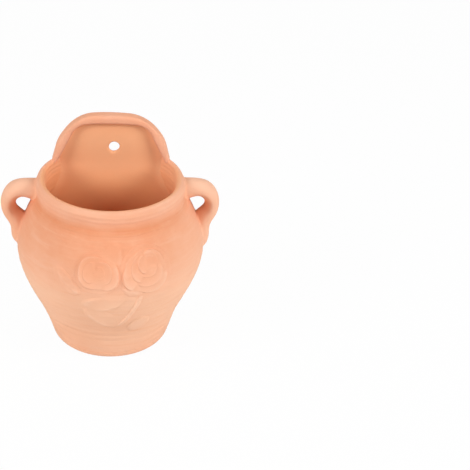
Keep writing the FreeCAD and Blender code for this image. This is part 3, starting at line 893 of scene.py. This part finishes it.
def roseHeight(rose, x, y):
    # each petal is a dish that rises to a rolled edge and drops there; the dishes lap over each
    # other and over a curled bud
    bed, square = roseForm["bed"], rose["square"]
    draw, limit, power = roseForm["drawIn"]
    layers = [np.full(x.shape, bed)]
    for middle, spread, edge, foot, rise, drop, shift in rose["petals"]:
        u, v = x - rose["heart"][0] * shift, y - rose["heart"][1] * shift
        radius = (np.abs(u) ** square + np.abs(v) ** square) ** (1 / square)
        off = turnFrom(np.arctan2(v, u), middle) / math.radians(spread)
        rim = edge * (1 - draw * np.minimum(np.abs(off), limit) ** power)
        inside = smoothStep(0, drop, rim - radius) * smoothStep(*roseForm["sideDrop"], np.abs(off))
        rise = rise * np.clip(radius / rim, 0, 1) ** roseForm["dishPower"]
        dish = foot + rise + rose["lap"] * off
        layers.append(bed + (dish - bed) * inside)
    size, lift, drop = rose["bud"]
    u, v = x - rose["heart"][0], y - rose["heart"][1]
    radius = np.hypot(u, v)
    depth, pitch = roseForm["curl"]
    curl = depth * np.sin(2 * np.arctan2(v, u) - radius * pitch) * smoothStep(0, 2, radius)
    layers.append(bed + (lift - bed + curl) * smoothStep(size, size - drop, radius))
    return softMax(layers, roseForm["blur"])


def rosePiece(name, node, rose):
    # the rose's height on rings round its middle, eased into the wall at the last ring
    turn = aroundOnce(roseForm["around"])[None, :]
    part = np.linspace(0, 1, roseForm["rings"])[:, None]
    across, up = part * rose["reach"] * np.cos(turn), part * rose["reach"] * np.sin(turn)
    lift = roseHeight(rose, across, up)
    ease = roseForm["easeFrom"]
    lift = lift * smoothStep(1.0, ease, part) - sprigs["sunk"] * smoothStep(ease, 1.0, part)
    across = across * rose["broad"]
    laySprig(name, node, rose["place"], across, up, lift, rose["wearAndHighlight"], rose["blush"])


rosePiece("leftRoseClay", "rose_left", roseLeft)
rosePiece("rightRoseClay", "rose_right", roseRight)

leafForm = {
    "rings": 60, "around": 220, "wearAndHighlight": (0.7, 1.7),
    "dome": (3, 1.2),  # the powers in (1 - part^a)^b
    "ribWidth": 1.3,
    "vein": 0.09, "veinPitch": 1.4, "veinSlant": 7,
    "margin": 0.76,
    "uneven": (0.14, 0.08),  # a margin's coarse and fine bumps
    # shares of the way to the edge over which rib, veins and the whole leaf set in or end
    "ribEnd": (1, 0.7), "veinStart": (0.05, 0.3), "veinEnd": (0.95, 0.7),
    "leafEnd": (1.0, 0.74), "sinkStart": (0.86, 1.0),
}
# a leaf: angle and height of its middle, length, width, turn, bow, lift, any rib with its count of
# veins, roundness of its outline, and rolled margins: height, where round the leaf, half spread,
# share of the width
leafSprigs = {
    "top_leaf": {
        "place": (1.0, 137.0), "long": 29, "wide": 23, "turn": 84, "bow": -1.0, "lift": 0.5,
        "blunt": 0.8, "margins": [(0.3, 10, 70, 0.25), (0.8, 264, 55, 0.38)]},
    "side_leaf": {
        "place": (-27.0, 110.0), "long": 40, "wide": 18, "turn": -41, "bow": 1.5, "lift": 0.9,
        "rib": (0.2, 3), "blunt": 1.0, "margins": [(0.35, 90, 60, 0.22), (0.6, 0, 50, 0.22)]},
    "low_leaf": {
        "place": (-5.0, 90.5), "long": 47, "wide": 21, "turn": 12, "bow": 2.0, "lift": 0.7,
        "blunt": 0.85, "margins": [(1.1, 155, 40, 0.24), (0.9, 275, 50, 0.28)]},
    "under_leaf": {
        "place": (-5.0, 68.5), "long": 50, "wide": 24, "turn": -45, "bow": 1.5, "lift": 0.5,
        "blunt": 0.9, "margins": [(1.1, 258, 75, 0.32)]},
    "calyx_leaf": {
        "place": (12.4, 104.0), "long": 26, "wide": 12, "turn": -22, "bow": 1.5, "lift": 1.2,
        "rib": (0.2, 2), "blunt": 1.1, "margins": [(0.5, 90, 80, 0.22)]},
    "small_leaf": {
        "place": (19.5, 54.0), "long": 29, "wide": 22, "turn": 50, "bow": 0.0, "lift": 1.3,
        "blunt": 0.85, "margins": [(0.4, 110, 90, 0.30)]},
}


def leafPiece(node, leaf):
    # outline: along = half length * cos, side = half width * sin^blunt, bowed by a parabola; the
    # height is a dome that eases into the wall, with a rib, slanting veins and rolled margins
    phi = aroundOnce(leafForm["around"])[None, :]
    part = np.linspace(0, 1, leafForm["rings"])[:, None]
    along = part * leaf["long"] / 2 * np.cos(phi)
    side = part * leaf["wide"] / 2 * np.sign(np.sin(phi)) * np.abs(np.sin(phi)) ** leaf["blunt"]
    a, b = leafForm["dome"]
    lift = leaf["lift"] * (1 - part ** a) ** b
    if "rib" in leaf:
        rib, veins = leaf["rib"]
        rib = rib * bell(side, 0, leafForm["ribWidth"])
        lift = lift + rib * smoothStep(*leafForm["ribEnd"], part)
        slant = np.abs(side) / leafForm["veinSlant"]
        repeat = along / leaf["long"] * veins * leafForm["veinPitch"] - slant
        vein = np.sin(fullTurn * repeat) * smoothStep(*leafForm["veinStart"], part)
        lift = lift + leafForm["vein"] * (vein * smoothStep(*leafForm["veinEnd"], part))
    coarse, fine = leafForm["uneven"]
    for height, where, spread, thick in leaf["margins"]:
        uneven = 1 + coarse * np.sin(5 * phi + where) + fine * np.sin(11 * phi)
        roll = bell(part, leafForm["margin"], thick)
        lift = lift + height * uneven * roll * bell(turnFrom(phi, where), 0, math.radians(spread))
    sink = sprigs["sunk"] * smoothStep(*leafForm["sinkStart"], part)
    lift = lift * smoothStep(*leafForm["leafEnd"], part) - sink
    bowed = side - leaf["bow"] * (1 - (2 * along / leaf["long"]) ** 2)
    spin = math.radians(leaf["turn"])
    across = along * math.cos(spin) - bowed * math.sin(spin)
    up = along * math.sin(spin) + bowed * math.cos(spin)
    name = node.split("_")[0] + "LeafClay"
    laySprig(name, node, leaf["place"], across, up, lift, leafForm["wearAndHighlight"])


for node, leaf in leafSprigs.items():
    leafPiece(node, leaf)

stem = {
    # its bow on the belly as (angle, height)
    "path": [(18.6, 100.0), (15.6, 84.7), (11.4, 70.1), (5.0, 56.3), (0.8, 51.0)],
    # the stem is paler all along: wear with painted highlight
    "radius": 2.7, "lift": -1.0, "wearAndPaintedLight": 0.7,
    "fullFrom": 0.12, "fullTo": 0.80,  # shares of its length between which it has its full radius
    "tip": 0.12,  # the share of the radius left at its ends
    "uneven": (0.03, 31),
    "sharp": 80,
    "rows": 140, "around": 32,
}


def stemPiece():
    # a thin roll of clay along the bow, tapering at both ends
    line = evenCurve(stem["path"], stem["rows"])
    turn, z = np.radians(line[:, 0]), line[:, 1]
    spine = onWall(turn, z, stem["lift"])
    along = unit(np.gradient(spine, axis=0))
    outward = onWall(turn, z, stem["lift"] + 1) - spine
    sideways = np.cross(along, outward)
    share = np.linspace(0, 1, len(line))
    taper = smoothStep(0, stem["fullFrom"], share) * smoothStep(1, stem["fullTo"], share)
    bumps, pitch = stem["uneven"]
    taper = taper * (1 + bumps * np.sin(share * pitch))
    thick = stem["radius"] * np.maximum(taper, stem["tip"])
    t = aroundOnce(stem["around"])[None, :, None]
    ring = sideways[:, None] * np.cos(t) + outward[:, None] * np.sin(t)
    points = spine[:, None] + thick[:, None, None] * ring
    makePiece("stemClay", "stem", terracottaRelief, [tubeGrid(points)],
              stem["sharp"], np.full(points.shape[:2], stem["wearAndPaintedLight"]))


stemPiece()
print("sprigs laid")

studio = {
    "floorSize": 4.0,
    "floorBelow": -0.0003,  # a hair under the base, so the two faces don't share a plane
    "floor": 0.84,
    "floorWhite": 0.97,
    "sky": 0.25,
    # soft boxes: place, size, power
    "boxes": [((1.60, -0.98, 1.12), 0.75, 24.4), ((-1.60, -0.98, 1.12), 0.75, 22.6),
              ((0.1, -2.2, 0.92), 0.8, 5.0), ((0.05, 0.30, 1.90), 0.9, 6.6)],
    "boxAim": (0, -0.06, 0.11),
}


def seenDirectly(tree):
    # 1 for what the camera or a gloss sees, 0 for light that goes on to the clay
    path = addNode(tree, "ShaderNodeLightPath")
    seen = addNode(tree, "ShaderNodeMath", operation="MAXIMUM")
    tree.links.new(path.outputs["Is Camera Ray"], seen.inputs[0])
    tree.links.new(path.outputs["Is Glossy Ray"], seen.inputs[1])
    return seen.outputs[0]


def whiteFloor():
    # a pale sweep that the camera sees as white paper, while shadows and bounce stay real
    size, below = studio["floorSize"], studio["floorBelow"]
    mesh = bpy.data.meshes.new("floor")
    mesh.from_pydata([(-size, -size, below), (size, -size, below), (size, size, below),
                      (-size, size, below)], [], [(0, 1, 2, 3)])
    floor = addObject("floor", mesh)
    material = bpy.data.materials.new("whitePaper")
    material.use_nodes = True
    tree = material.node_tree
    tree.nodes.clear()
    paper = addNode(tree, "ShaderNodeBsdfDiffuse", Color=(*[studio["floor"]] * 3, 1))
    glow = addNode(tree, "ShaderNodeEmission", Strength=1.0)
    share = addNode(tree, "ShaderNodeMath", operation="MULTIPLY")
    tree.links.new(seenDirectly(tree), share.inputs[0])
    share.inputs[1].default_value = studio["floorWhite"]
    mix = addNode(tree, "ShaderNodeMixShader")
    for source, socket in zip((share, paper, glow), mix.inputs):
        tree.links.new(source.outputs[0], socket)
    out = addNode(tree, "ShaderNodeOutputMaterial")
    tree.links.new(mix.outputs[0], out.inputs["Surface"])
    mesh.materials.append(material)


def lookAlong(place, aim):
    # a lamp or camera at a place, looking at its aim with its right side level
    place = np.array(place)
    ahead = unit(np.array(aim) - place)
    right = unit(np.cross(ahead, [0, 0, 1]))
    turn = np.stack([right, np.cross(right, ahead), -ahead], -1)
    return Matrix([[*turn[row], place[row]] for row in range(3)] + [[0, 0, 0, 1]])


def softLight():
    # a sky that is white to the eye and weak to the clay, and the soft boxes
    world = bpy.data.worlds.new("studioSky")
    world.use_nodes = True
    tree = world.node_tree
    sky = tree.nodes["Background"]
    sky.inputs["Color"].default_value = (1, 1, 1, 1)
    strength = addNode(tree, "ShaderNodeMath", operation="MULTIPLY_ADD")
    strength.inputs[1].default_value = 1.0 - studio["sky"]
    strength.inputs[2].default_value = studio["sky"]
    tree.links.new(seenDirectly(tree), strength.inputs[0])
    tree.links.new(strength.outputs[0], sky.inputs["Strength"])
    bpy.context.scene.world = world
    for place, size, power in studio["boxes"]:
        lamp = bpy.data.lights.new("softBox", "AREA")
        lamp.energy, lamp.size = power, size
        box = addObject("softBox", lamp)
        box.matrix_world = lookAlong(place, studio["boxAim"])


photoView = {
    "place": (0.0, -0.9980, 0.6781),
    "aim": (0.0, -0.0510, 0.1050),
    "lens": 84.0, "sensor": 36.0, "near": 0.01,
    "aside": 6.44, "lift": 0.25,
}


def photoCamera():
    # aimed at the pot, then swung to its own right and up so that the pot stands left of the middle
    aside, lift = math.radians(photoView["aside"]), math.radians(photoView["lift"])
    data = bpy.data.cameras.new("photoCamera")
    data.lens, data.sensor_width = photoView["lens"], photoView["sensor"]
    data.clip_start = photoView["near"]
    camera = addObject("photoCamera", data)
    aimed = lookAlong(photoView["place"], photoView["aim"])
    camera.matrix_world = aimed @ Matrix.Rotation(-aside, 4, "Y") @ Matrix.Rotation(lift, 4, "X")
    bpy.context.scene.camera = camera


whiteFloor()
softLight()
photoCamera()
bpy.context.scene.view_settings.view_transform = "Standard"
print("studio set")
